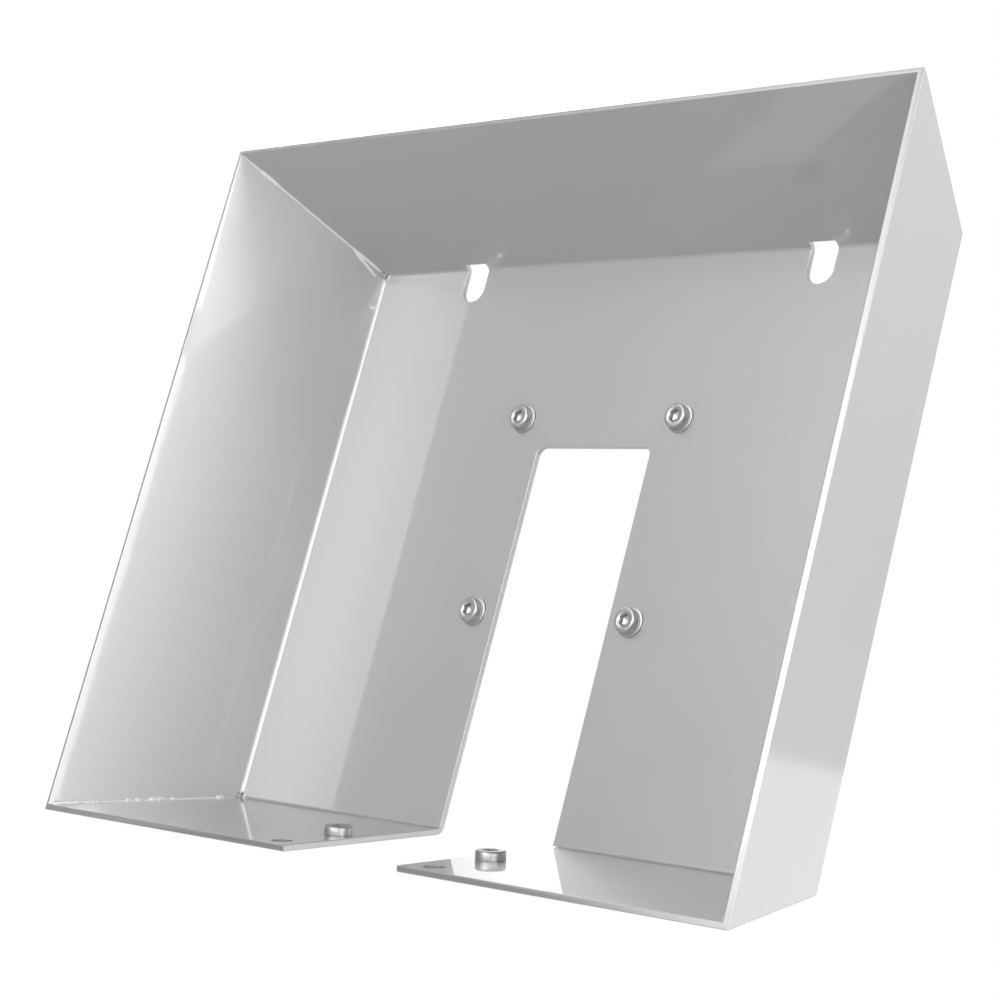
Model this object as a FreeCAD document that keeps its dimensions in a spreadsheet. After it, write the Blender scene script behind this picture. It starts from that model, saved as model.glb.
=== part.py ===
# Weather hood for a wall-mounted camera.
#
# A sheet-metal hood, open at the front: a back plate with four walls folded
# forward and splayed outwards, welded at the corners and powder coated. A notch
# runs from the middle of the back plate straight down through the bottom wall,
# so that the hood drops over a bracket or a cable. Four socket screws stand
# through the plate on a square about the notch, each with a washer under its head
# and a nut behind. The bottom wall carries two clinch nuts and two clearance
# holes, one of each on either side of the notch.
#
# Frame: origin at the centre of the screw square on the rear face of the back
# plate, +X to the right seen from the front, +Y to the rear, +Z up.
import FreeCAD, Part
import math
import os

import Sketcher
from FreeCAD import Placement, Rotation, Vector

document = FreeCAD.newDocument("weather_hood")

# Driving dimensions, in millimetres and degrees
DRIVING_DIMENSIONS = [
    # The folded sheet
    ("sheet_thickness", 2.0),
    ("plate_width", 256.0),
    ("plate_height", 206.0),
    ("hood_depth", 66.0),
    ("splay_angle", 18.5),
    ("bend_radius", 1.5),
    ("relief_diameter", 2.6),
    # The notch through the back plate and the bottom wall
    ("notch_width", 50.5),
    ("notch_rise", 136.0),
    ("notch_radius", 3.0),
    # The two hanging slots under the top wall
    ("slot_pitch", 155.0),
    ("slot_width", 10.5),
    ("slot_length", 12.0),
    ("slot_bend_reach", 2.5),
    # The square of screws: its place on the plate, and the holes for them
    ("square_rise", 111.0),
    ("screw_pitch_x", 70.0),
    ("screw_pitch_z", 70.0),
    ("hole_clearance", 0.5),
    # Screws, washers and nuts, M5
    ("thread_diameter", 5.0),
    ("thread_pitch", 0.8),
    ("head_diameter", 8.5),
    ("head_height", 3.0),
    ("head_chamfer", 0.4),
    ("socket_flats", 4.0),
    ("socket_depth", 2.0),
    ("washer_diameter", 10.0),
    ("washer_bore", 5.3),
    ("washer_thickness", 0.8),
    ("nut_flats", 8.0),
    ("nut_height", 4.0),
    ("nut_chamfer_angle", 30.0),
    ("screw_overhang", 3.0),
    ("screw_tip_chamfer", 0.6),
    # The bottom wall: clinch nuts and clearance holes
    ("clinch_pitch", 68.0),
    ("clinch_inset", 31.0),
    ("clinch_collar_diameter", 9.5),
    ("clinch_collar_height", 3.0),
    ("clinch_collar_chamfer", 0.5),
    ("clinch_shank_diameter", 7.0),
    ("wall_hole_pitch", 68.0),
    ("wall_hole_inset", 6.8),
    ("wall_hole_diameter", 6.6),
]
sizes = document.addObject("Spreadsheet::Sheet", "sizes")
for row, (alias, value) in enumerate(DRIVING_DIMENSIONS, start=1):
    sizes.set(f"A{row}", alias)
    sizes.set(f"B{row}", str(value))
    sizes.setAlias(f"B{row}", alias)
document.recompute()

# Places that several pieces share, worked out from the driving dimensions.
# The walls' spread grows with the distance in front of the rear face.
PLATE_SIDE = "sizes.plate_width / 2"
PLATE_FOOT = "sizes.square_rise"
PLATE_HEAD = "(sizes.plate_height - sizes.square_rise)"
SPREAD = "sizes.hood_depth * tan(sizes.splay_angle)"
SLANT_THICKNESS = "sizes.sheet_thickness / cos(sizes.splay_angle)"

# Screw and nut threads meet at the pitch radius, and both are drawn there. The
# free end of a screw is drawn at its crests, and a free nut bore at its crests.
PITCH_RADIUS = "(sizes.thread_diameter / 2 - 0.3248 * sizes.thread_pitch)"
BORE_CREST_RADIUS = "(sizes.thread_diameter / 2 - 0.5413 * sizes.thread_pitch)"


def new_body(label):
    """A body with a label of its own."""
    body = document.addObject("PartDesign::Body", label)
    body.Label = label
    return body


def origin_feature(body, role):
    """The body's own origin plane or axis with this role."""
    for feature in body.Origin.OriginFeatures:
        if feature.Role == role:
            return feature
    raise LookupError(role)


def new_sketch(body, name, role, lift="0"):
    """A sketch on an origin plane of its body, lifted along the plane's normal."""
    sketch = body.newObject("Sketcher::SketchObject", name)
    sketch.AttachmentSupport = [(origin_feature(body, role), "")]
    sketch.MapMode = "FlatFace"
    sketch.setExpression("AttachmentOffset.Base.z", lift)
    return sketch


def bind(sketch, kind, points, expression):
    """A driving constraint on the points, bound to an expression."""
    value = sketch.evalExpression(expression)
    index = sketch.addConstraint(Sketcher.Constraint(kind, *points, value))
    sketch.setExpression(f"Constraints[{index}]", expression)


def place_point(sketch, geometry, end, right=None, up=None):
    """Bind a point's place to the right of and above the sketch's origin.

    "0" puts it on the axis, and a leading minus sign on the other side.
    """
    for kind, axis, expression in (("DistanceX", -2, right), ("DistanceY", -1, up)):
        if expression is None:
            continue
        if expression == "0":
            on_axis = Sketcher.Constraint("PointOnObject", geometry, end, axis)
            sketch.addConstraint(on_axis)
        elif expression.startswith("-"):
            bind(sketch, kind, (geometry, end, -1, 1), expression[1:])
        else:
            bind(sketch, kind, (-1, 1, geometry, end), expression)


def outline(sketch, corners, arcs=None):
    """A closed outline through corners, each a rough place and two expressions.

    The side that leaves corner N is a line, or a clockwise arc where arcs gives
    a rough centre for N and an expression for the centre's height.
    """
    arcs = arcs or {}
    rough = [Vector(*corner[0], 0) for corner in corners]
    sides = []
    for index, start in enumerate(rough):
        end = rough[(index + 1) % len(rough)]
        if index in arcs:
            centre = Vector(*arcs[index][0], 0)
            ring = Part.Circle(centre, Vector(0, 0, 1), (start - centre).Length)
            first, last = (math.atan2(*(p - centre)[1::-1]) for p in (end, start))
            arc = Part.ArcOfCircle(ring, first, last)
            sides.append((sketch.addGeometry(arc), 2, 1))
        else:
            line = Part.LineSegment(start, end)
            sides.append((sketch.addGeometry(line), 1, 2))
    for index, (side, _, tail) in enumerate(sides):
        following, head, _ = sides[(index + 1) % len(sides)]
        joined = Sketcher.Constraint("Coincident", side, tail, following, head)
        sketch.addConstraint(joined)
    for (side, head, _), (_, right, up) in zip(sides, corners):
        place_point(sketch, side, head, right, up)
    for index, (_, height) in arcs.items():
        place_point(sketch, sides[index][0], 3, up=height)


def circle(sketch, diameter, right="0", up="0"):
    """A circle of a bound diameter."""
    ring = sketch.addGeometry(Part.Circle(Vector(1, 1, 0), Vector(0, 0, 1), 1))
    bind(sketch, "Diameter", (ring,), diameter)
    place_point(sketch, ring, 3, right, up)


def hexagon(sketch, flats):
    """A regular hexagon about the origin, with two level flats."""
    half = f"{flats} / 2"
    side = f"{flats} / 2 / cos(30)"
    outline(
        sketch,
        [
            ((2, 0), f"({side})", "0"),
            ((1, -2), f"({side} / 2)", f"-({half})"),
            ((-1, -2), f"-({side} / 2)", f"-({half})"),
            ((-2, 0), f"-({side})", "0"),
            ((-1, 2), f"-({side} / 2)", f"({half})"),
            ((1, 2), f"({side} / 2)", f"({half})"),
        ],
    )


def feature_from(body, kind, name, sketch, **lengths):
    """A pad or pocket of a sketch, its lengths bound to expressions."""
    feature = body.newObject(f"PartDesign::{kind}", name)
    feature.Profile = sketch
    for length, expression in lengths.items():
        feature.setExpression(length, expression)
    return feature


def cut_both_ways(body, name, sketch, length):
    """Cut an outline out of the body, half the length to each side of its sketch."""
    cut = feature_from(body, "Pocket", name, sketch, Length=length)
    cut.SideType = "Symmetric"
    return cut


def frustum(body, kind, name, front, rear):
    """A flat-sided solid between two upright rectangles.

    Each is given by its depth in front of the plate's rear face, and by how far
    it spreads past the plate's rear outline on every side.
    """
    solid = body.newObject(f"PartDesign::{kind}", name)
    for depth, spread, end, along in ((*front, "", "Ymin"), (*rear, "2", "Ymax")):
        solid.setExpression(along, f"-({depth})")
        solid.setExpression(f"X{end}min", f"-({PLATE_SIDE} + {spread})")
        solid.setExpression(f"X{end}max", f"{PLATE_SIDE} + {spread}")
        solid.setExpression(f"Z{end}min", f"-({PLATE_FOOT} + {spread})")
        solid.setExpression(f"Z{end}max", f"{PLATE_HEAD} + {spread}")
    return solid


def turn(body, kind, name, sketch):
    """Turn a profile once round the body's own Z axis."""
    feature = body.newObject(f"PartDesign::{kind}", name)
    feature.Profile = sketch
    feature.ReferenceAxis = (origin_feature(body, "Z_Axis"), [""])
    feature.Angle = 360
    return feature


def fold(body, name, base, depth, radius):
    """Round the ring of edges that lies at a depth in front of the rear face."""
    document.recompute()
    ring = []
    for number, edge in enumerate(base.Shape.Edges, start=1):
        box = edge.BoundBox
        if max(abs(box.YMin + depth), abs(box.YMax + depth)) < 1e-4:
            ring.append(f"Edge{number}")
    feature = body.newObject("PartDesign::Fillet", name)
    feature.Base = (base, ring)
    feature.setExpression("Radius", radius)
    return feature


def place(thing, right="0", back="0", up="0", axis=Vector(1, 0, 0), angle="0"):
    """Bind a body's or feature's place and its turn about an axis."""
    thing.Placement = Placement(Vector(), Rotation(axis, 10))
    places = {"Base.x": right, "Base.y": back, "Base.z": up, "Rotation.Angle": angle}
    for name, expression in places.items():
        thing.setExpression(f"Placement.{name}", expression)


def build_shell():
    """The hood: one sheet, folded on four sides, its corner seams welded."""
    shell = new_body("hood_shell")

    # Outside: from the plate's rear outline to the mouth, then a shallow cap
    # over the mouth that leaves each wall's front edge square to its sheet.
    cap_inset = "5 * sizes.sheet_thickness"
    cap_depth = f"(sizes.hood_depth + {cap_inset} * tan(sizes.splay_angle))"
    rear_outline = ("0", "0")
    mouth_outline = ("sizes.hood_depth", SPREAD)
    cap_outline = (cap_depth, f"{SPREAD} - {cap_inset}")
    frustum(shell, "AdditiveWedge", "outside", mouth_outline, rear_outline)
    frustum(shell, "AdditiveWedge", "mouth_cap", cap_outline, mouth_outline)

    # Inside: the same walls one sheet thickness in, run out past the cap.
    past_mouth = f"(sizes.hood_depth + {cap_inset})"
    past_outline, floor_outline = (
        (depth, f"{depth} * tan(sizes.splay_angle) - {SLANT_THICKNESS}")
        for depth in (past_mouth, "sizes.sheet_thickness")
    )
    hollow = frustum(
        shell, "SubtractiveWedge", "inside", past_outline, floor_outline
    )

    # Folds: the inside radius, and outside one sheet thickness more.
    thickness = float(sizes.sheet_thickness)
    inner_folds = fold(shell, "inner_folds", hollow, thickness, "sizes.bend_radius")
    outer_radius = "sizes.bend_radius + sizes.sheet_thickness"
    fold(shell, "outer_folds", inner_folds, 0, outer_radius)

    pierce_back_plate(shell)
    pierce_bottom_wall(shell)
    return shell


def pierce_back_plate(shell):
    """The notch, the screw holes, the corner reliefs and the hanging slots."""
    through = "4 * (sizes.sheet_thickness + sizes.bend_radius)"

    # The notch goes down through the bottom wall too, so it is cut right through.
    notch = new_sketch(shell, "notch_outline", "XZ_Plane")
    half = "sizes.notch_width / 2"
    corner = "sizes.notch_radius"
    head = "(sizes.notch_rise - sizes.square_rise)"
    foot = f"({PLATE_FOOT} + {SPREAD} + 2 * sizes.sheet_thickness)"
    turn_height = f"({head} - {corner})"
    outline(
        notch,
        [
            ((-25, 22), f"-({half})", turn_height),
            ((-22, 25), f"-({half} - {corner})", head),
            ((22, 25), f"({half} - {corner})", head),
            ((25, 22), f"({half})", turn_height),
            ((25, -150), f"({half})", f"-{foot}"),
            ((-25, -150), f"-({half})", f"-{foot}"),
        ],
        arcs={0: ((-22, 22), turn_height), 2: ((22, 22), turn_height)},
    )
    cut_both_ways(shell, "notch", notch, "4 * sizes.hood_depth")

    # Clearance holes for the screws, and relief holes where two folds meet.
    holes = new_sketch(shell, "plate_circles", "XZ_Plane")
    hole_diameter = "sizes.thread_diameter + sizes.hole_clearance"
    for side in ("-", ""):
        for level in ("-", ""):
            right = f"{side}(sizes.screw_pitch_x / 2)"
            up = f"{level}(sizes.screw_pitch_z / 2)"
            circle(holes, hole_diameter, right, up)
        right = f"{side}({PLATE_SIDE} - sizes.sheet_thickness)"
        foot_corner = f"-({PLATE_FOOT} - sizes.sheet_thickness)"
        head_corner = f"({PLATE_HEAD} - sizes.sheet_thickness)"
        circle(holes, "sizes.relief_diameter", right, foot_corner)
        circle(holes, "sizes.relief_diameter", right, head_corner)
    cut_both_ways(shell, "plate_holes", holes, through)

    # Hanging slots: round at the foot, square at the top, where they cut through
    # the fold and a little way into the top wall.
    slot = new_sketch(shell, "slot_outline", "XZ_Plane")
    half = "sizes.slot_width / 2"
    left, right = (f"(sizes.slot_pitch / 2 {sign} {half})" for sign in "-+")
    over = f"({PLATE_HEAD} + 2 * sizes.sheet_thickness + sizes.slot_bend_reach)"
    foot = f"({PLATE_HEAD} - sizes.sheet_thickness - sizes.slot_length + {half})"
    outline(
        slot,
        [
            ((72, 101), left, over),
            ((83, 101), right, over),
            ((83, 86), right, foot),
            ((72, 86), left, foot),
        ],
        arcs={2: ((77.5, 86), foot)},
    )
    reach = "2 * (sizes.sheet_thickness + sizes.slot_bend_reach)"
    right_slot = cut_both_ways(shell, "right_slot", slot, reach)
    both_slots = shell.newObject("PartDesign::Mirrored", "both_slots")
    both_slots.Originals = [right_slot]
    both_slots.MirrorPlane = (origin_feature(shell, "YZ_Plane"), [""])
    shell.Tip = both_slots


def pierce_bottom_wall(shell):
    """Seats for the clinch nuts, and plain holes nearer the front edge.

    The sketch lies on the wall's underside, its origin on the front edge and its
    vertical axis up the slope to the back plate.
    """
    circles = new_sketch(shell, "bottom_wall_circles", "XY_Plane")
    circles.AttachmentOffset = Placement(Vector(), Rotation(Vector(1, 0, 0), 10))
    circles.setExpression("AttachmentOffset.Base.y", "-sizes.hood_depth")
    circles.setExpression("AttachmentOffset.Base.z", f"-({PLATE_FOOT} + {SPREAD})")
    circles.setExpression("AttachmentOffset.Rotation.Angle", "sizes.splay_angle")
    for side in ("-", ""):
        right = f"{side}(sizes.clinch_pitch / 2)"
        circle(circles, "sizes.clinch_shank_diameter", right, "sizes.clinch_inset")
        right = f"{side}(sizes.wall_hole_pitch / 2)"
        circle(circles, "sizes.wall_hole_diameter", right, "sizes.wall_hole_inset")
    cut_both_ways(shell, "bottom_wall_holes", circles, "4 * sizes.sheet_thickness")


# Heights along a screw, measured forward from the rear face of the back plate
HEAD_SEAT = "(sizes.sheet_thickness + sizes.washer_thickness)"
NUT_END_DEPTH = "sizes.nut_height"


def place_on_square(body, side, level, forward="0"):
    """Stand a fastener, built along Z, on a corner of the square, facing forward."""
    place(
        body,
        right=f"{side} * sizes.screw_pitch_x / 2",
        back=f"-({forward})",
        up=f"{level} * sizes.screw_pitch_z / 2",
        angle="90",
    )


def build_cap_screw(label, side, level):
    """A low-head socket screw through the plate, its shank free behind the nut."""
    screw = new_body(label)
    profile = new_sketch(screw, "screw_profile", "XZ_Plane")
    rim = "sizes.head_diameter / 2"
    top = f"({HEAD_SEAT} + sizes.head_height)"
    crest = "sizes.thread_diameter / 2"
    tip = f"({NUT_END_DEPTH} + sizes.screw_overhang)"
    chamfer = "sizes.screw_tip_chamfer"
    outline(
        profile,
        [
            ((0, 6), "0", top),
            ((4, 6), f"({rim} - sizes.head_chamfer)", top),
            ((5, 5), f"({rim})", f"({top} - sizes.head_chamfer)"),
            ((5, 3), f"({rim})", HEAD_SEAT),
            ((2, 3), PITCH_RADIUS, HEAD_SEAT),
            ((2, -5), PITCH_RADIUS, f"-{NUT_END_DEPTH}"),
            ((3, -5), f"({crest})", f"-{NUT_END_DEPTH}"),
            ((3, -12), f"({crest})", f"-({tip} - {chamfer})"),
            ((2, -13), f"({crest} - {chamfer})", f"-{tip}"),
            ((0, -13), "0", f"-{tip}"),
        ],
    )
    turn(screw, "Revolution", "screw_blank", profile)
    socket = new_sketch(screw, "socket_outline", "XY_Plane", top)
    hexagon(socket, "sizes.socket_flats")
    feature_from(screw, "Pocket", "socket", socket, Length="sizes.socket_depth")
    place_on_square(screw, side, level)
    return screw


def build_washer(label, side, level):
    """A flat washer between the plate and the screw's head."""
    washer = new_body(label)
    ring = new_sketch(washer, "washer_circles", "XY_Plane")
    circle(ring, "sizes.washer_diameter")
    circle(ring, "sizes.washer_bore")
    feature_from(washer, "Pad", "washer", ring, Length="sizes.washer_thickness")
    place_on_square(washer, side, level, "sizes.sheet_thickness")
    return washer


def build_hex_nut(label, side, level):
    """A hexagon nut behind the plate, its free end chamfered to a circle."""
    nut = new_body(label)
    flats = new_sketch(nut, "hexagon_outline", "XY_Plane")
    hexagon(flats, "sizes.nut_flats")
    feature_from(nut, "Pad", "hexagon", flats, Length="sizes.nut_height")
    half = "sizes.nut_flats / 2"
    past = "sizes.nut_flats"
    rise = f"(({past} - {half}) * tan(sizes.nut_chamfer_angle))"
    wedge = new_sketch(nut, "chamfer_profile", "XZ_Plane")
    outline(
        wedge,
        [
            ((4, 0), f"({half})", "0"),
            ((8, 0), past, "0"),
            ((8, 2), past, rise),
        ],
    )
    turn(nut, "Groove", "chamfer", wedge)
    bore = new_sketch(nut, "bore_circle", "XY_Plane")
    circle(bore, f"2 * {PITCH_RADIUS}")
    cut_both_ways(nut, "bore", bore, "4 * sizes.nut_height")
    place_on_square(nut, side, level, f"-{NUT_END_DEPTH}")
    return nut


def build_clinch_nut(label, side):
    """A press-in nut: its shank fills the wall's hole, its collar stands inside."""
    nut = new_body(label)
    profile = new_sketch(nut, "nut_profile", "XZ_Plane")
    bore = BORE_CREST_RADIUS
    shank = "(sizes.clinch_shank_diameter / 2)"
    collar = "(sizes.clinch_collar_diameter / 2)"
    seat = "sizes.sheet_thickness"
    top = f"({seat} + sizes.clinch_collar_height)"
    chamfer = "sizes.clinch_collar_chamfer"
    outline(
        profile,
        [
            ((2, 0), bore, "0"),
            ((2, 5), bore, f"({top} - {chamfer})"),
            ((3, 6), f"({bore} + {chamfer})", top),
            ((4, 6), f"({collar} - {chamfer})", top),
            ((5, 5), collar, f"({top} - {chamfer})"),
            ((5, 2), collar, seat),
            ((4, 2), shank, seat),
            ((4, 0), shank, "0"),
        ],
    )
    turn(nut, "Revolution", "nut", profile)
    place(
        nut,
        right=f"{side} * sizes.clinch_pitch / 2",
        back="-(sizes.hood_depth - sizes.clinch_inset * cos(sizes.splay_angle))",
        up=f"-({PLATE_FOOT} + {SPREAD} - sizes.clinch_inset * sin(sizes.splay_angle))",
        angle="sizes.splay_angle",
    )
    return nut


# Assembly: the shell, then the fasteners at each corner of the square
subparts = [build_shell()]
for level, level_name in ((1, "top"), (-1, "bottom")):
    for side, side_name in ((-1, "left"), (1, "right")):
        corner = f"{level_name}_{side_name}"
        subparts += [
            build_cap_screw(f"cap_screw_{corner}", side, level),
            build_washer(f"washer_{corner}", side, level),
            build_hex_nut(f"hex_nut_{corner}", side, level),
        ]
for side, side_name in ((-1, "left"), (1, "right")):
    subparts.append(build_clinch_nut(f"clinch_nut_{side_name}", side))
document.recompute()

# Every feature has to be sound before anything is written
for item in document.Objects:
    if {"Invalid", "Error"} & set(item.State):
        raise RuntimeError(f"{item.Name} in {item.State}")
for subpart in subparts:
    shape = subpart.Shape
    if shape.isNull() or not shape.isValid() or len(shape.Solids) != 1:
        raise RuntimeError(f"{subpart.Label} isn't one sound solid")

os.makedirs("parts", exist_ok=True)
for subpart in subparts:
    subpart.Shape.exportStep(f"parts/{subpart.Label}.step")
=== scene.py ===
import math

import bmesh
import bpy
import numpy as np
from mathutils import Matrix, Vector


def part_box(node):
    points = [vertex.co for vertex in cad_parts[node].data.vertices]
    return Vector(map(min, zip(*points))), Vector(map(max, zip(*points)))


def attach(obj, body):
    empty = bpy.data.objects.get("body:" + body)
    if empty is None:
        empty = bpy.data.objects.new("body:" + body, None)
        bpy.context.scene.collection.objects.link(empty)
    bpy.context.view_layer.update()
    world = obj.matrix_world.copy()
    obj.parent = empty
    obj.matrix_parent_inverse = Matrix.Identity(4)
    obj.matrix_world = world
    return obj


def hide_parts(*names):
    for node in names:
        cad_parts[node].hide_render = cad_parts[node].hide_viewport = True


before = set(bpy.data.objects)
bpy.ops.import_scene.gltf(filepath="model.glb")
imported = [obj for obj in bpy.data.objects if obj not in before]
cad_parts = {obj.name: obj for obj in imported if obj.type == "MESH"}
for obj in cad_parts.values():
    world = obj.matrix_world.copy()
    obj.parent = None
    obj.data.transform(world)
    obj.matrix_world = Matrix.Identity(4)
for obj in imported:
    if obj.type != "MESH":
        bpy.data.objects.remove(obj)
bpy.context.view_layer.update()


# The hood shell: 2 mm sheet steel, laser cut, its four walls folded forward and
# welded at the corners, then powder coated silver grey inside and out. The coat
# runs round every cut edge, so no edge is sharp.
SHEET, SPLAY = 0.002, math.radians(18.5)
COAT_EDGE = 0.00028
# The right plain hole of the bottom wall, half way through the sheet
PLAIN_HOLE = (0.034, -0.059869, -0.129977)
PLAIN_HOLE_RADIUS = 0.0033


def colour(text):
    """The linear colour of an sRGB hex value.

    Each channel c becomes c / 12.92 up to 0.04045, and ((c + 0.055) / 1.055)^2.4
    above it.
    """
    c = np.array([int(text[i : i + 2], 16) for i in (1, 3, 5)]) / 255
    return (*np.where(c <= 0.04045, c / 12.92, ((c + 0.055) / 1.055) ** 2.4), 1.0)


def add_node(tree, kind, settings=(), links=()):
    """Adds a node, then sets its sockets or properties and links its sockets."""
    node = tree.nodes.new(kind)
    for name, value in dict(settings).items():
        if isinstance(name, int) or name in node.inputs:
            node.inputs[name].default_value = value
        else:
            setattr(node, name, value)
    for name, source in dict(links).items():
        tree.links.new(source, node.inputs[name])
    return node


def finish_for(name):
    """An empty node material, and its tree."""
    finish = bpy.data.materials.new(name)
    finish.use_nodes = True
    finish.node_tree.nodes.clear()
    return finish, finish.node_tree


def settle(thing, finish, slot, *nodes):
    """Gives a piece its finish, and the body and nodes it stands for. The slot is not used."""
    thing.data.materials.clear()
    thing.data.materials.append(finish)
    bpy.context.scene.collection.objects.link(thing)
    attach(thing, "root")
    if nodes:
        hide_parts(*nodes)
    return thing


# Polyester powder coat with fine aluminium flake, sprayed and baked: the clear
# skin gives a sharp, weak reflection with a faint orange peel, and the flake
# under it a broad soft one. The skin's real IOR is about 1.5; 1.72 matches how
# strongly the back plate mirrors the left wall.
powder_coat, tree = finish_for("silver_grey_powder_coat")
where = add_node(tree, "ShaderNodeTexCoord").outputs["Object"]
clouds = add_node(
    tree,
    "ShaderNodeTexNoise",
    {"Scale": 1 / 0.060, "Detail": 3.0, "Roughness": 0.55},
    {"Vector": where},
)
tint = add_node(
    tree,
    "ShaderNodeMix",
    {"data_type": "RGBA", 6: colour("#c5c6c7"), 7: colour("#cbcccc")},
    {0: clouds.outputs["Fac"]},
)
# Along the top and bottom front edges the colour is darkened towards #a0a2a1, which is painted
# shade, and there is hardly any clear skin. The mask picks these edges by where they lie and which
# way they face
axes = add_node(tree, "ShaderNodeSeparateXYZ", (), {"Vector": where})
facing = add_node(tree, "ShaderNodeNewGeometry").outputs["Normal"]
turned = add_node(tree, "ShaderNodeSeparateXYZ", (), {"Vector": facing})
at_mouth = add_node(
    tree,
    "ShaderNodeMapRange",
    {"From Min": -0.0624, "From Max": -0.0628},
    {"Value": axes.outputs["Y"]},
)
looks_ahead = add_node(
    tree,
    "ShaderNodeMapRange",
    {"From Min": -0.86, "From Max": -0.93},
    {"Value": turned.outputs["Y"]},
)
level = add_node(tree, "ShaderNodeMath", {"operation": "ABSOLUTE"}, {0: turned.outputs["Z"]})
top_or_foot = add_node(
    tree, "ShaderNodeMapRange", {"From Min": 0.15, "From Max": 0.25}, {"Value": level.outputs[0]}
)
rim = add_node(
    tree,
    "ShaderNodeMath",
    {"operation": "MULTIPLY"},
    {0: at_mouth.outputs[0], 1: looks_ahead.outputs[0]},
)
painted_edge_shade = add_node(
    tree, "ShaderNodeMath", {"operation": "MULTIPLY"}, {0: rim.outputs[0], 1: top_or_foot.outputs[0]}
)
# Painted shade: the top and bottom front edges darkened towards #a0a2a1
tint = add_node(
    tree,
    "ShaderNodeMix",
    {"data_type": "RGBA", 7: colour("#a0a2a1")},
    {0: painted_edge_shade.outputs[0], 6: tint.outputs[2]},
)
clear_skin = add_node(
    tree, "ShaderNodeMapRange", {"To Min": 1.0, "To Max": 0.1}, {"Value": painted_edge_shade.outputs[0]}
)
# Inside the two plain holes of the bottom wall the colour is darkened towards #989a99: painted
# shade. |x| folds one onto the other, and the mapping puts the origin on the hole's axis
folded = add_node(tree, "ShaderNodeMath", {"operation": "ABSOLUTE"}, {0: axes.outputs["X"]})
one_side = add_node(
    tree,
    "ShaderNodeCombineXYZ",
    (),
    {"X": folded.outputs[0], "Y": axes.outputs["Y"], "Z": axes.outputs["Z"]},
)
on_hole = add_node(
    tree,
    "ShaderNodeMapping",
    {
        "vector_type": "TEXTURE",
        "Location": PLAIN_HOLE,
        "Rotation": (SPLAY, 0.0, 0.0),
    },
    {"Vector": one_side.outputs[0]},
)
flattened = add_node(
    tree,
    "ShaderNodeVectorMath",
    {"operation": "MULTIPLY", 1: (1.0, 1.0, 0.0)},
    {0: on_hole.outputs[0]},
)
radius = add_node(
    tree, "ShaderNodeVectorMath", {"operation": "LENGTH"}, {0: flattened.outputs[0]}
)
painted_hole_shade = add_node(
    tree,
    "ShaderNodeMapRange",
    {"From Min": PLAIN_HOLE_RADIUS + 0.0002, "From Max": PLAIN_HOLE_RADIUS + 0.0001},
    {"Value": radius.outputs["Value"]},
)
# Painted shade inside the plain holes
tint = add_node(
    tree,
    "ShaderNodeMix",
    {"data_type": "RGBA", 7: colour("#989a99")},
    {0: painted_hole_shade.outputs[0], 6: tint.outputs[2]},
)
# Orange peel: the real waves are 2 to 3 mm long and under 0.01 mm high
peel = add_node(
    tree,
    "ShaderNodeTexNoise",
    {"Scale": 1 / 0.0028, "Detail": 1.0, "Roughness": 0.4},
    {"Vector": where},
)
peel_bump = add_node(
    tree,
    "ShaderNodeBump",
    {"Strength": 0.10, "Distance": 0.00006},
    {"Height": peel.outputs["Fac"]},
)
haze = add_node(
    tree,
    "ShaderNodeMapRange",
    {"To Min": 0.38, "To Max": 0.46},
    {"Value": clouds.outputs["Fac"]},
)
shader = add_node(
    tree,
    "ShaderNodeBsdfPrincipled",
    {"Metallic": 0.5, "Coat Roughness": 0.04, "Coat IOR": 1.72},
    {
        "Base Color": tint.outputs[2],
        "Roughness": haze.outputs["Result"],
        "Coat Weight": clear_skin.outputs["Result"],
        "Normal": peel_bump.outputs["Normal"],
        "Coat Normal": peel_bump.outputs["Normal"],
    },
)
add_node(tree, "ShaderNodeOutputMaterial", (), {"Surface": shader.outputs["BSDF"]})


def coated_copy(name, node):
    """A copy of a solid's mesh, its flat faces joined and its cut edges rounded."""
    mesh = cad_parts[node].data.copy()
    mesh.name = name
    work = bmesh.new()
    work.from_mesh(mesh)
    bmesh.ops.remove_doubles(work, verts=work.verts, dist=2e-6)
    bmesh.ops.dissolve_limit(
        work, angle_limit=math.radians(0.5), verts=work.verts, edges=work.edges
    )
    work.to_mesh(mesh)
    work.free()
    mesh.shade_smooth()
    thing = bpy.data.objects.new(name, mesh)
    rounding = thing.modifiers.new("coat_edge", "BEVEL")
    rounding.width = COAT_EDGE
    rounding.segments = 2
    rounding.limit_method = "ANGLE"
    rounding.angle_limit = math.radians(30)
    rounding.use_clamp_overlap = False
    evened = thing.modifiers.new("even_shading", "WEIGHTED_NORMAL")
    evened.mode = "FACE_AREA"
    evened.weight = 100
    return thing


shell = coated_copy("coated_shell", "hood_shell")
settle(shell, powder_coat, "powder_coated_sheet", "hood_shell")


# The weld beads: laid by hand in each inside corner, where two folded walls meet,
# and coated with the shell. Thick where the welder tacked the corner, thin
# between, and rippled across the run.
# The plate's side, head and foot edges, each measured from the screws' centre
PLATE_SIDE, PLATE_HEAD, PLATE_FOOT = 0.128, 0.095, 0.111
# How far the seams reach in front of the plate's rear face, and how they spread
SEAM_FRONT, SEAM_REAR = 0.0658, 0.0038
SEAM_SPREAD = math.tan(SPLAY)
# The share of a bead's radius that its centre stands out of the corner, and the
# ripples along a whole seam
OUT_OF_CORNER = 0.35
RIPPLES = 44
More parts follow.
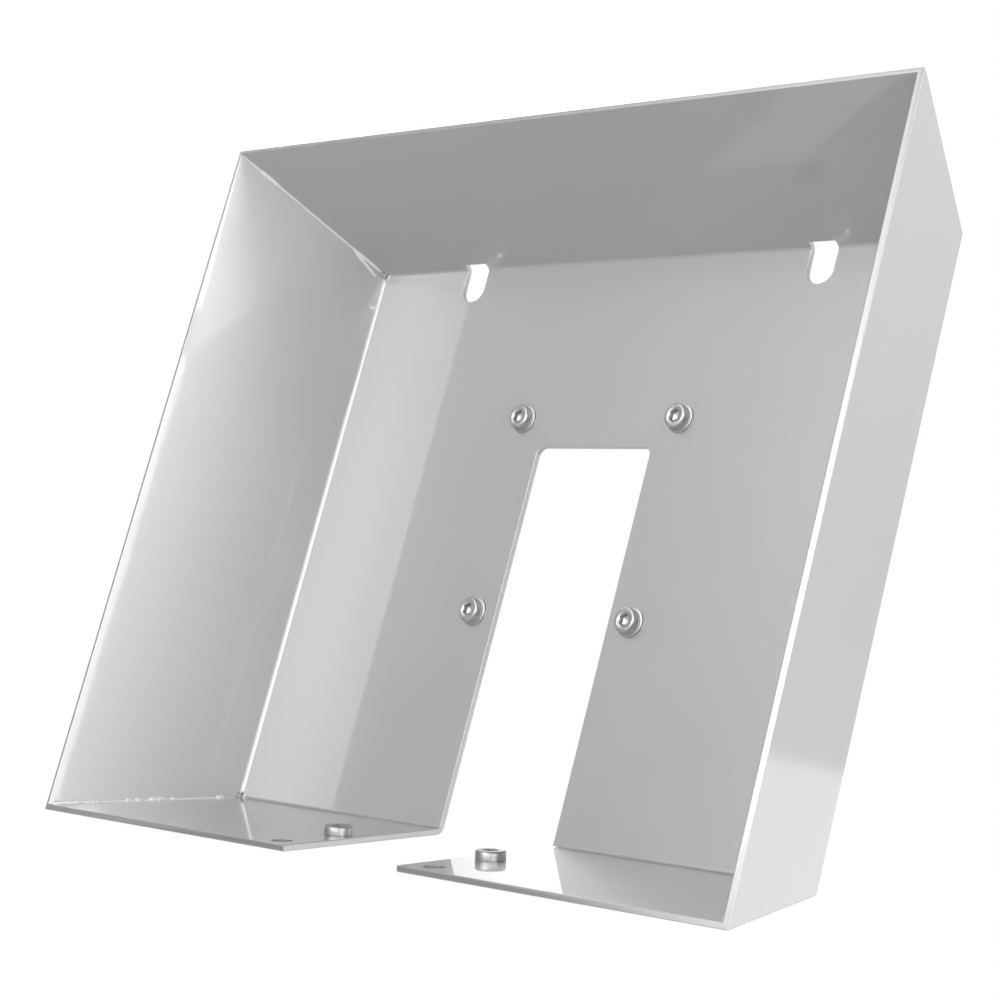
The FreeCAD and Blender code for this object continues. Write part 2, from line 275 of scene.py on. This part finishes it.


# The same powder coat, piled up over the beads: thick and wet when it melts, it hides the flake and
# is glossier than on the sheet. Its paler colour, #e2e4e4 to #f3f4f4, is painted highlight.
bead_coat_painted_highlight, tree = finish_for("powder_coat_painted_highlight")
where = add_node(tree, "ShaderNodeTexCoord").outputs["Object"]
lumps = add_node(
    tree,
    "ShaderNodeTexNoise",
    {"Scale": 1 / 0.0012, "Detail": 2.0},
    {"Vector": where},
)
tint = add_node(
    tree,
    "ShaderNodeMix",
    {"data_type": "RGBA", 6: colour("#e2e4e4"), 7: colour("#f3f4f4")},
    {0: lumps.outputs["Fac"]},
)
lump_bump = add_node(
    tree,
    "ShaderNodeBump",
    {"Strength": 0.5, "Distance": 0.00015},
    {"Height": lumps.outputs["Fac"]},
)
shader = add_node(
    tree,
    "ShaderNodeBsdfPrincipled",
    {"Roughness": 0.35, "Coat Weight": 1.0, "Coat Roughness": 0.06, "Coat IOR": 2.0},
    {
        "Base Color": tint.outputs[2],
        "Normal": lump_bump.outputs["Normal"],
        "Coat Normal": lump_bump.outputs["Normal"],
    },
)
add_node(tree, "ShaderNodeOutputMaterial", (), {"Surface": shader.outputs["BSDF"]})


def skin(name, rings, loop=False):
    """A closed mesh over a grid of points, each row of it once round.

    Point (row, column) is joined to the next column and the next row by a quad.
    The last row is joined to the first in a loop, and otherwise each end row is
    closed by a fan to its mean point.
    """
    rows, columns = rings.shape[:2]
    here = np.arange(rows * columns).reshape(rows, columns)
    beside = np.roll(here, -1, axis=1)
    points = rings.reshape(-1, 3)
    if loop:
        above, across = np.roll(here, -1, axis=0), np.roll(beside, -1, axis=0)
        faces = np.stack([here, beside, across, above], axis=-1).reshape(-1, 4).tolist()
    else:
        faces = np.stack([here[:-1], beside[:-1], beside[1:], here[1:]], axis=-1)
        faces = faces.reshape(-1, 4).tolist()
        first = np.full(columns, points.shape[0])
        faces += np.stack([first, beside[0], here[0]], axis=-1).tolist()
        faces += np.stack([first + 1, here[-1], beside[-1]], axis=-1).tolist()
        points = np.concatenate([points, [rings[0].mean(0), rings[-1].mean(0)]])
    mesh = bpy.data.meshes.new(name)
    mesh.from_pydata(points.tolist(), [], faces)
    mesh.shade_smooth()
    mesh.set_sharp_from_angle(angle=math.radians(35))
    return bpy.data.objects.new(name, mesh)


def weld_bead(name, side, level, start, end, thick, lean_start=0.0, lean_end=0.0):
    """One run of weld along an inside seam, its ends as shares of the way back.

    The centre runs straight from start to end, a third of the radius out of the
    corner, and leans down the side wall by so many millimetres at each end. The
    radius is thick, in millimetres, times the fourth root of 1 - (2 t - 1)^4
    for t from 0 to 1 along the run, which rounds both ends, times
    1 + 0.08 cos(ripples).
    """
    t = np.linspace(0, 1, max(24, int(220 * (end - start))))[:, None]
    around = np.linspace(0, 2 * math.pi, 14, endpoint=False)[None, :]
    way_back = start + (end - start) * t
    depth = SEAM_FRONT + (SEAM_REAR - SEAM_FRONT) * way_back
    slant = SHEET / math.cos(SPLAY)
    inside_x, inside_z = PLATE_SIDE - slant, (PLATE_HEAD if level > 0 else PLATE_FOOT) - slant
    lean = (lean_start + (lean_end - lean_start) * t) / 1000
    x = side * (inside_x + SEAM_SPREAD * depth)
    z = level * (inside_z + SEAM_SPREAD * depth - lean)
    ends = np.clip(1 - (2 * t - 1) ** 4, 0.0003, 1) ** 0.25
    beat = 2 * math.pi * RIPPLES * way_back + 9 * np.sin(7 * way_back)
    ripple = np.cos(beat + 0.8 * np.cos(around))
    radius = thick / 1000 * ends * (1 + 0.08 * ripple)
    across = np.array([-side, 0.0, -level]) / math.sqrt(2)
    along = np.array([side * SEAM_SPREAD, -1.0, level * SEAM_SPREAD])
    along /= np.linalg.norm(along)
    third = np.cross(along, across)
    centre = np.stack([x, -depth, z], axis=-1) + OUT_OF_CORNER * thick / 1000 * across
    rings = (
        centre
        + (radius * np.cos(around))[..., None] * across
        - (radius * np.sin(around))[..., None] * third
    )
    # The bead's pale coat is painted highlight
    return settle(skin(name, rings), bead_coat_painted_highlight, "powder_coated_sheet")


# Each row: start, end, thickness, and the lean where a run leaves the seam. A thin
# run goes all the way, with tacks over it where the photograph shows them
weld_runs = {
    ("top_left", -1, 1): [
        (0.0, 1.0, 0.55),
        (0.126, 0.263, 1.05),
        (0.79, 0.985, 0.85),
        (0.80, 0.97, 0.75, 0.4, 3.0),
    ],
    ("bottom_left", -1, -1): [
        (0.0, 1.0, 0.55),
        (0.005, 0.154, 1.05),
        (0.18, 0.253, 0.95),
        (0.392, 0.42, 1.05),
        (0.44, 0.478, 1.1),
        (0.518, 0.598, 1.3),
        (0.636, 0.656, 0.9),
        (0.885, 0.927, 1.1),
    ],
    ("top_right", 1, 1): [
        (0.0, 1.0, 0.55),
        (0.09, 0.24, 1.05),
        (0.47, 0.55, 1.0),
        (0.82, 0.98, 1.0),
    ],
    ("bottom_right", 1, -1): [
        (0.0, 1.0, 0.55),
        (0.005, 0.12, 1.05),
        (0.44, 0.52, 1.2),
        (0.86, 0.97, 1.05),
    ],
}
for (corner, side, level), runs in weld_runs.items():
    for count, run in enumerate(runs):
        weld_bead(f"weld_{corner}_{count}", side, level, *run)


# The relief holes, one where the two folds of each corner meet: the last of the
# weld runs into each and leaves a raised lip round it
PLUG_RADIUS, PLUG_HALF_THICKNESS, PLUG_DEPTH = 0.0014, 0.00055, 0.0011
LIP_RADIUS, LIP_SECTION, LIP_HEIGHT = 0.00155, 0.00045, 0.00005


def relief_centre(side, level):
    """The x and z of a corner's relief hole, one sheet thickness inside the plate."""
    return side * (PLATE_SIDE - SHEET), level * ((PLATE_HEAD if level > 0 else PLATE_FOOT) - SHEET)


def relief_plug(name, side, level):
    """The weld in the relief hole: a ball flattened to a lens, its radius
    PLUG_RADIUS across and PLUG_HALF_THICKNESS through, PLUG_DEPTH into the plate."""
    around = np.linspace(0, 2 * math.pi, 28, endpoint=False)[None, :]
    tilt = np.linspace(-math.pi / 2, math.pi / 2, 13)[1:-1, None]
    centre_x, centre_z = relief_centre(side, level)
    x = centre_x + PLUG_RADIUS * np.cos(tilt) * np.cos(around)
    y = -PLUG_DEPTH + PLUG_HALF_THICKNESS * np.sin(tilt) + 0 * around
    z = centre_z - PLUG_RADIUS * np.cos(tilt) * np.sin(around)
    rings = np.stack([x, y, z], axis=-1)
    return settle(skin(name, rings), powder_coat, "powder_coated_sheet")


def relief_ring(name, side, level):
    """The raised lip of weld on the face of the plate: a ring whose round section
    is LIP_SECTION times 1 + 0.15 cos 3a at each angle a."""
    ways = np.linspace(0, 2 * math.pi, 40, endpoint=False)[:, None]
    around = np.linspace(0, 2 * math.pi, 12, endpoint=False)[None, :]
    thick = LIP_SECTION * (1 + 0.15 * np.cos(3 * ways))
    reach = LIP_RADIUS + thick * np.cos(around)
    centre_x, centre_z = relief_centre(side, level)
    x = centre_x + reach * np.cos(ways)
    y = -SHEET - LIP_HEIGHT + thick * np.sin(around)
    z = centre_z + reach * np.sin(ways)
    rings = np.stack([x, y, z], axis=-1)
    # The lip's pale coat is painted highlight round the relief hole
    return settle(skin(name, rings, loop=True), bead_coat_painted_highlight, "powder_coated_sheet")


for corner, side, level in weld_runs:
    relief_plug(f"relief_plug_{corner}", side, level)
    relief_ring(f"relief_ring_{corner}", side, level)


# The screws: four M5 low-head socket screws of steel, cold headed, thread rolled
# and zinc plated. Each stands through the plate, its head to the front and its
# free end behind the nut.
CREST, ROOT, PITCH = 2.5, 2.01, 0.8
HEAD_TOP, HEAD_SEAT, HEAD_RADIUS, HEAD_CHAMFER = 5.8, 2.8, 4.25, 0.4
SOCKET_FLATS, SOCKET_DEPTH = 4.0, 2.0
TIP, TIP_CHAMFER = -7.0, 0.6
NUT_REAR = -4.0
FLUTES, FLUTE_DEPTH = 36, 0.3

# Bright zinc plate on steel, barrel plated: a soft silvery shine, slightly cloudy
# in patches of a millimetre or two.
zinc_plate, tree = finish_for("zinc_plate_on_steel")
where = add_node(tree, "ShaderNodeTexCoord").outputs["Object"]
clouds = add_node(
    tree,
    "ShaderNodeTexNoise",
    {"Scale": 1 / 0.0022, "Detail": 3.0},
    {"Vector": where},
)
tint = add_node(
    tree,
    "ShaderNodeMix",
    {"data_type": "RGBA", 6: colour("#b9b9b5"), 7: colour("#d2d3d2")},
    {0: clouds.outputs["Fac"]},
)
haze = add_node(
    tree,
    "ShaderNodeMapRange",
    {"To Min": 0.24, "To Max": 0.42},
    {"Value": clouds.outputs["Fac"]},
)
grain = add_node(
    tree,
    "ShaderNodeTexNoise",
    {"Scale": 1 / 0.0004, "Detail": 2.0},
    {"Vector": where},
)
grain_bump = add_node(
    tree,
    "ShaderNodeBump",
    {"Strength": 0.25, "Distance": 0.00001},
    {"Height": grain.outputs["Fac"]},
)
shader = add_node(
    tree,
    "ShaderNodeBsdfPrincipled",
    {"Metallic": 1.0},
    {
        "Base Color": tint.outputs[2],
        "Roughness": haze.outputs["Result"],
        "Normal": grain_bump.outputs["Normal"],
    },
)
add_node(tree, "ShaderNodeOutputMaterial", (), {"Surface": shader.outputs["BSDF"]})


def hexagon(around, flats):
    """Radius of a hexagon at each angle: half the flats over cos of the angle
    from the nearest flat's middle."""
    return flats / 2 / np.cos((around + math.pi / 6) % (math.pi / 3) - math.pi / 6)


def stand_on_plate(rings, node):
    """Millimetres round a fastener's own axis, put at its node: its axis points
    forward, from the plate's rear face."""
    low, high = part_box(node)
    x, y, z = np.moveaxis(rings / 1000, -1, 0)
    return np.stack([(low.x + high.x) / 2 + x, -z, (low.z + high.z) / 2 + y], axis=-1)


def ring_grid(around, levels):
    """Rings from rows of (radius, height), either of them a number or a value
    at each angle: x = r cos, y = r sin, z = height."""
    radius, height = (
        np.stack([np.broadcast_to(level[i], around.shape) for level in levels])
        for i in (0, 1)
    )
    return np.stack([radius * np.cos(around), radius * np.sin(around), height], axis=-1)


def socket_screw(name, node):
    """A screw from its tip to its socket.

    The thread's radius at height z and angle a is between root and crest, a
    triangle wave of z / pitch - a / 360 degrees with its peaks cut flat. The
    head's side is knurled with cosine flutes, and the socket is a hexagon.
    """
    around = np.linspace(0, 2 * math.pi, 216, endpoint=False)
    heights = np.arange(TIP + TIP_CHAMFER, NUT_REAR + 0.5, PITCH / 12)[:, None]
    phase = (heights / PITCH - around[None, :] / (2 * math.pi)) % 1.0
    flank = np.clip(2.4 * np.abs(2 * phase - 1) - 0.7, 0, 1)
    run_out = np.clip((heights - TIP) / PITCH, 0, 1)
    thread = ROOT + (CREST - 0.03 - ROOT) * flank * run_out
    levels = [(CREST - 1.1, TIP), (ROOT - 0.12, TIP), (ROOT - 0.04, TIP + 0.06)]
    levels += [(row, height) for row, height in zip(thread, heights[:, 0])]
    flutes = FLUTE_DEPTH / 2 * (np.cos(FLUTES * around) - 1)
    side_foot, side_top = HEAD_SEAT + 0.25, HEAD_TOP - HEAD_CHAMFER - 0.15
    levels += [
        (ROOT, NUT_REAR + 0.6),
        (ROOT, HEAD_SEAT),
        (HEAD_RADIUS - 0.25, HEAD_SEAT),
        (HEAD_RADIUS - 0.06, HEAD_SEAT + 0.06),
        (HEAD_RADIUS, side_foot),
        (HEAD_RADIUS + flutes, side_foot + 0.1),
        (HEAD_RADIUS + flutes, side_top - 0.1),
        (HEAD_RADIUS, side_top),
        (HEAD_RADIUS - 0.04, HEAD_TOP - HEAD_CHAMFER),
        (HEAD_RADIUS - HEAD_CHAMFER + 0.06, HEAD_TOP - 0.06),
        (HEAD_RADIUS - HEAD_CHAMFER - 0.12, HEAD_TOP),
    ]
    flats = hexagon(around, SOCKET_FLATS)
    mouth = SOCKET_FLATS / 2 / math.cos(math.pi / 6) + 0.12
    mouth_drop = (mouth - flats) * 0.6
    levels += [
        (mouth + 0.06, HEAD_TOP),
        (mouth, HEAD_TOP - 0.03),
        (flats, HEAD_TOP - 0.03 - mouth_drop),
        (flats, HEAD_TOP - SOCKET_DEPTH),
        (flats * 0.55, HEAD_TOP - SOCKET_DEPTH - 0.35),
    ]
    screw = skin(name, stand_on_plate(ring_grid(around, levels), node))
    return settle(screw, zinc_plate, "zinc_plated_steel", node)


corners = [f"{level}_{side}" for level in ("top", "bottom") for side in ("left", "right")]
for corner in corners:
    socket_screw(f"screw_{corner}", f"cap_screw_{corner}")


# The washers: punched from steel strip and zinc plated, one under each screw
# head. The punch rolls the front edge over and leaves the rear edge sharper.
WASHER_RADIUS, WASHER_BORE, WASHER_SEAT, WASHER_THICK = 5.0, 2.65, 2.0, 0.8


def flat_washer(name, node):
    """A washer: a rectangle with rounded corners, carried once round the axis."""
    around = np.linspace(0, 2 * math.pi, 96, endpoint=False)
    low, high = WASHER_SEAT, WASHER_SEAT + WASHER_THICK
    levels = [
        (WASHER_BORE, low + 0.08),
        (WASHER_BORE + 0.05, low),
        (WASHER_RADIUS - 0.08, low),
        (WASHER_RADIUS, low + 0.08),
        (WASHER_RADIUS, high - 0.22),
        (WASHER_RADIUS - 0.07, high - 0.07),
        (WASHER_RADIUS - 0.22, high),
        (WASHER_BORE + 0.15, high),
        (WASHER_BORE, high - 0.12),
    ]
    washer = skin(name, stand_on_plate(ring_grid(around, levels), node), loop=True)
    return settle(washer, zinc_plate, "zinc_plated_steel", node)


for corner in corners:
    flat_washer(f"flat_washer_{corner}", f"washer_{corner}")


# The nuts: hexagon nuts of steel, zinc plated, run up tight against the back of
# the plate. Their free end is chamfered, which leaves an arc on each flat.
NUT_FLATS, NUT_HEIGHT, NUT_CHAMFER = 8.0, 4.0, math.tan(math.radians(30))


def hexagon_nut(name, node):
    """A nut: a hexagon's radius at each angle, cut at the free end by a cone.

    The cone's height falls by tan 30 degrees for each millimetre that the
    hexagon's radius is over half the flats.
    """
    around = np.linspace(0, 2 * math.pi, 144, endpoint=False)
    flats = hexagon(around, NUT_FLATS)
    rear = -NUT_HEIGHT
    cone = rear + (flats - NUT_FLATS / 2) * NUT_CHAMFER
    bore = ROOT + 0.06
    levels = [
        (bore + 0.45, rear),
        (NUT_FLATS / 2 - 0.05, rear),
        (flats - 0.02, cone + 0.01),
        (flats, cone + 0.06),
        (flats, -0.05),
        (flats - 0.05, 0.0),
        (bore + 0.45, 0.0),
        (bore, -0.4),
        (bore, rear + 0.4),
    ]
    nut = skin(name, stand_on_plate(ring_grid(around, levels), node), loop=True)
    return settle(nut, zinc_plate, "zinc_plated_steel", node)


for corner in corners:
    hexagon_nut(f"plate_nut_{corner}", f"hex_nut_{corner}")


# The press-in nuts: turned steel, zinc plated, pressed into round holes in the
# bottom wall from inside. The shank ends flush with the underside.
# The foot of the right nut's axis, in metres, on the underside of the wall
CLINCH_X, CLINCH_Y, CLINCH_Z = 0.034, -0.036602, -0.123247
SHANK, COLLAR, COLLAR_SEAT, COLLAR_TOP, COLLAR_CHAMFER = 3.5, 4.75, 2.0, 5.0, 0.5
BORE = 2.067

# Bright zinc plate over turned steel: fine rings round the axis from the tool,
# drawn at 0.25 mm, which is coarser than the real 0.1 mm, so that they show.
turned_steel, tree = finish_for("zinc_plate_on_turned_steel")
where = add_node(tree, "ShaderNodeTexCoord").outputs["Object"]
clouds = add_node(
    tree,
    "ShaderNodeTexNoise",
    {"Scale": 1 / 0.0018, "Detail": 3.0},
    {"Vector": where},
)
# Both nuts share the rings: |x| folds one side onto the other, and the mapping
# puts the origin on the nut's axis and turns it square to the wall
axes = add_node(tree, "ShaderNodeSeparateXYZ", (), {"Vector": where})
folded = add_node(tree, "ShaderNodeMath", {"operation": "ABSOLUTE"}, {0: axes.outputs["X"]})
one_side = add_node(
    tree,
    "ShaderNodeCombineXYZ",
    (),
    {"X": folded.outputs[0], "Y": axes.outputs["Y"], "Z": axes.outputs["Z"]},
)
on_axis = add_node(
    tree,
    "ShaderNodeMapping",
    {
        "vector_type": "TEXTURE",
        "Location": (CLINCH_X, CLINCH_Y, CLINCH_Z),
        "Rotation": (SPLAY, 0.0, 0.0),
    },
    {"Vector": one_side.outputs[0]},
)
rings = add_node(
    tree,
    "ShaderNodeTexWave",
    {
        "wave_type": "RINGS",
        "rings_direction": "Z",
        "Scale": 2 * math.pi / 20 / 0.00025,
        "Distortion": 0.6,
    },
    {"Vector": on_axis.outputs[0]},
)
ring_bump = add_node(
    tree,
    "ShaderNodeBump",
    {"Strength": 0.6, "Distance": 0.00002},
    {"Height": rings.outputs["Fac"]},
)
tint = add_node(
    tree,
    "ShaderNodeMix",
    {"data_type": "RGBA", 6: colour("#a3a5a3"), 7: colour("#bcbebd")},
    {0: clouds.outputs["Fac"]},
)
haze = add_node(
    tree,
    "ShaderNodeMapRange",
    {"To Min": 0.32, "To Max": 0.46},
    {"Value": clouds.outputs["Fac"]},
)
shader = add_node(
    tree,
    "ShaderNodeBsdfPrincipled",
    {"Metallic": 1.0},
    {
        "Base Color": tint.outputs[2],
        "Roughness": haze.outputs["Result"],
        "Normal": ring_bump.outputs["Normal"],
    },
)
add_node(tree, "ShaderNodeOutputMaterial", (), {"Surface": shader.outputs["BSDF"]})


def clinch_nut(name, node, side):
    """A press-in nut: its half section carried once round, then turned square to
    the sloping wall. The bore's radius is a helix, as on the screws."""
    around = np.linspace(0, 2 * math.pi, 96, endpoint=False)
    heights = np.arange(0.3, COLLAR_TOP - 0.4, PITCH / 10)[:, None]
    phase = (heights / PITCH - around[None, :] / (2 * math.pi)) % 1.0
    flank = np.clip(2.4 * np.abs(2 * phase - 1) - 0.7, 0, 1)
    thread = BORE + 0.4 * flank
    levels = [(row, height) for row, height in zip(thread, heights[:, 0])][::-1]
    levels += [
        (BORE + 0.45, 0.0),
        (SHANK - 0.1, 0.0),
        (SHANK, 0.1),
        (SHANK, COLLAR_SEAT),
        (COLLAR - 0.1, COLLAR_SEAT),
        (COLLAR, COLLAR_SEAT + 0.1),
        (COLLAR, COLLAR_TOP - COLLAR_CHAMFER),
        (COLLAR - 0.07, COLLAR_TOP - COLLAR_CHAMFER + 0.1),
        (COLLAR - COLLAR_CHAMFER + 0.1, COLLAR_TOP - 0.07),
        (COLLAR - COLLAR_CHAMFER, COLLAR_TOP),
        (BORE + 0.55, COLLAR_TOP),
        (BORE + 0.45, COLLAR_TOP - 0.06),
    ]
    rings = ring_grid(around, levels) / 1000
    x, y, z = np.moveaxis(rings, -1, 0)
    cos, sin = math.cos(SPLAY), math.sin(SPLAY)
    placed = np.stack(
        [
            side * CLINCH_X + x,
            CLINCH_Y + y * cos - z * sin,
            CLINCH_Z + y * sin + z * cos,
        ],
        axis=-1,
    )
    nut = skin(name, placed, loop=True)
    return settle(nut, turned_steel, "clinch_nut_steel", node)


clinch_nut("press_nut_left", "clinch_nut_left", -1)
clinch_nut("press_nut_right", "clinch_nut_right", 1)


# The studio: a plain pale floor well below the hood, which is held up out of
# sight, an even white surround, and large soft lamps. The camera stands low in
# front of the right side and looks up to the left.
FLOOR_REACH, FLOOR_HEIGHT = 6.0, -0.27
LAMP_DISTANCE = 1.6
CAMERA_PLACE = (0.54828, -0.57994, -0.18985)
CAMERA_RIGHT = (0.72144, 0.6474, 0.24576)
CAMERA_UP = (-0.01847, -0.33678, 0.9414)
CAMERA_AHEAD = (-0.69223, 0.68371, 0.23101)


def floor_sheet():
    """A level square below the hood, centred under its screws."""
    mesh = bpy.data.meshes.new("floor")
    corner = [(-1, -1), (1, -1), (1, 1), (-1, 1)]
    points = [(x * FLOOR_REACH, y * FLOOR_REACH, FLOOR_HEIGHT) for x, y in corner]
    mesh.from_pydata(points, [], [(0, 1, 2, 3)])
    return bpy.data.objects.new("floor", mesh)


# Matt off-white paper: lit as it is, and lifted towards white where the camera
# sees it, the more the farther it lies from the lamps
paper, tree = finish_for("matt_white_paper")
where = add_node(tree, "ShaderNodeTexCoord").outputs["Object"]
mottle = add_node(tree, "ShaderNodeTexNoise", {"Scale": 1 / 0.05}, {"Vector": where})
tint = add_node(
    tree,
    "ShaderNodeMix",
    {"data_type": "RGBA", 6: colour("#dcdcdb"), 7: colour("#e1e1e0")},
    {0: mottle.outputs["Fac"]},
)
matt = add_node(tree, "ShaderNodeBsdfDiffuse", (), {"Color": tint.outputs[2]})
away = add_node(tree, "ShaderNodeVectorMath", {"operation": "LENGTH"}, {0: where})
lift = add_node(
    tree,
    "ShaderNodeMapRange",
    {"From Min": 0.7, "From Max": 2.6, "To Min": 0.45, "To Max": 0.95},
    {"Value": away.outputs["Value"]},
)
glow = add_node(
    tree,
    "ShaderNodeEmission",
    {"Color": colour("#ffffff")},
    {"Strength": lift.outputs["Result"]},
)
lifted = add_node(tree, "ShaderNodeAddShader", (), {0: matt.outputs[0], 1: glow.outputs[0]})
path = add_node(tree, "ShaderNodeLightPath")
seen = add_node(
    tree,
    "ShaderNodeMixShader",
    (),
    {0: path.outputs["Is Camera Ray"], 1: matt.outputs[0], 2: lifted.outputs[0]},
)
add_node(tree, "ShaderNodeOutputMaterial", (), {"Surface": seen.outputs[0]})

floor = floor_sheet()
floor.data.materials.append(paper)
bpy.context.scene.collection.objects.link(floor)

# The surround is white to the camera. What shines sees a dimmer room, with its
# lit side in front and a pale table's edge behind, just above the level.
ROOM_LEVEL, PATCH_POWER = 0.324, 30.0
studio = bpy.data.worlds.new("studio")
bpy.context.scene.world = studio
studio.use_nodes = True
tree = studio.node_tree
tree.nodes.clear()
toward = add_node(tree, "ShaderNodeTexCoord").outputs["Generated"]
unit = add_node(tree, "ShaderNodeVectorMath", {"operation": "NORMALIZE"}, {0: toward})
axes = add_node(tree, "ShaderNodeSeparateXYZ", (), {"Vector": unit.outputs[0]})
below = add_node(
    tree,
    "ShaderNodeMapRange",
    {"From Min": 0.155, "From Max": 0.161, "To Min": 0.95, "To Max": 0.33},
    {"Value": axes.outputs["Z"]},
)
behind = add_node(
    tree,
    "ShaderNodeMapRange",
    {"From Min": 0.3, "From Max": 0.7},
    {"Value": axes.outputs["Y"]},
)
room = add_node(
    tree,
    "ShaderNodeMath",
    {"operation": "MULTIPLY_ADD", 2: ROOM_LEVEL},
    {0: below.outputs[0], 1: behind.outputs[0]},
)


def toward_lamp(azimuth, height):
    """A direction from two angles in degrees: the first from +X round towards
    the front, the second up from the level."""
    turn, rise = math.radians(azimuth), math.radians(height)
    level = math.cos(rise)
    return Vector((math.cos(turn) * level, -math.sin(turn) * level, math.sin(rise)))


# Each pale patch of the room falls off as a power of the cosine. Each row: the
# two angles of its middle, and its brightness
patches = [
    (90, 8, 2.2),
    (105, 17, 2.8),
    (120, 42, 1.6),
    (-90, 32, 0.4),
    (-139, 20, 0.85),
    (-47, 13, 0.6),
]
for azimuth, height, bright in patches:
    cosine = add_node(
        tree,
        "ShaderNodeVectorMath",
        {"operation": "DOT_PRODUCT", 1: toward_lamp(azimuth, height)},
        {0: unit.outputs[0]},
    )
    ahead = add_node(
        tree, "ShaderNodeMath", {"operation": "MAXIMUM", 1: 0.0}, {0: cosine.outputs["Value"]}
    )
    patch = add_node(
        tree, "ShaderNodeMath", {"operation": "POWER", 1: PATCH_POWER}, {0: ahead.outputs[0]}
    )
    room = add_node(
        tree,
        "ShaderNodeMath",
        {"operation": "MULTIPLY_ADD", 1: bright},
        {0: patch.outputs[0], 2: room.outputs[0]},
    )
# The light on what doesn't shine comes mostly from behind the hood
path = add_node(tree, "ShaderNodeLightPath")
fill = add_node(
    tree,
    "ShaderNodeMapRange",
    {"From Min": 0.0, "From Max": 0.5, "To Min": 0.03, "To Max": 0.62},
    {"Value": axes.outputs["Y"]},
)
ambient = add_node(
    tree,
    "ShaderNodeMix",
    (),
    {0: path.outputs["Is Glossy Ray"], 2: fill.outputs[0], 3: room.outputs[0]},
)
strength = add_node(
    tree, "ShaderNodeMix", {3: 1.0}, {0: path.outputs["Is Camera Ray"], 2: ambient.outputs[0]}
)
sky = add_node(
    tree,
    "ShaderNodeBackground",
    {"Color": colour("#ffffff")},
    {"Strength": strength.outputs[0]},
)
add_node(tree, "ShaderNodeOutputWorld", (), {"Surface": sky.outputs[0]})


def softbox(name, azimuth, height, size, watts):
    """A square soft lamp, LAMP_DISTANCE from the screws' centre and facing it."""
    lamp = bpy.data.lights.new(name, "AREA")
    lamp.shape = "SQUARE"
    lamp.size = size
    lamp.energy = watts
    thing = bpy.data.objects.new(name, lamp)
    way = toward_lamp(azimuth, height)
    thing.location = LAMP_DISTANCE * way
    thing.rotation_mode = "QUATERNION"
    thing.rotation_quaternion = way.to_track_quat("Z", "Y")
    thing.visible_camera = False
    bpy.context.scene.collection.objects.link(thing)


softbox("right_softbox", 15, 0, 1.0, 10.2)
softbox("right_high_softbox", 8, 28, 0.5, 6.0)
softbox("right_front_softbox", 60, 0, 1.0, 6.5)
softbox("front_softbox", 90, 5, 1.0, 5.0)
softbox("left_softbox", 196, 42, 1.0, 18.0)

view = bpy.data.cameras.new("camera")
view.lens = 88.44
view.sensor_width = 36.0
view.clip_start, view.clip_end = 0.05, 40.0
camera = bpy.data.objects.new("camera", view)
turn = Matrix((CAMERA_RIGHT, CAMERA_UP, -Vector(CAMERA_AHEAD))).transposed()
camera.matrix_world = Matrix.Translation(CAMERA_PLACE) @ turn.to_4x4()
bpy.context.scene.collection.objects.link(camera)
bpy.context.scene.camera = camera
bpy.context.scene.view_settings.view_transform = "Standard"
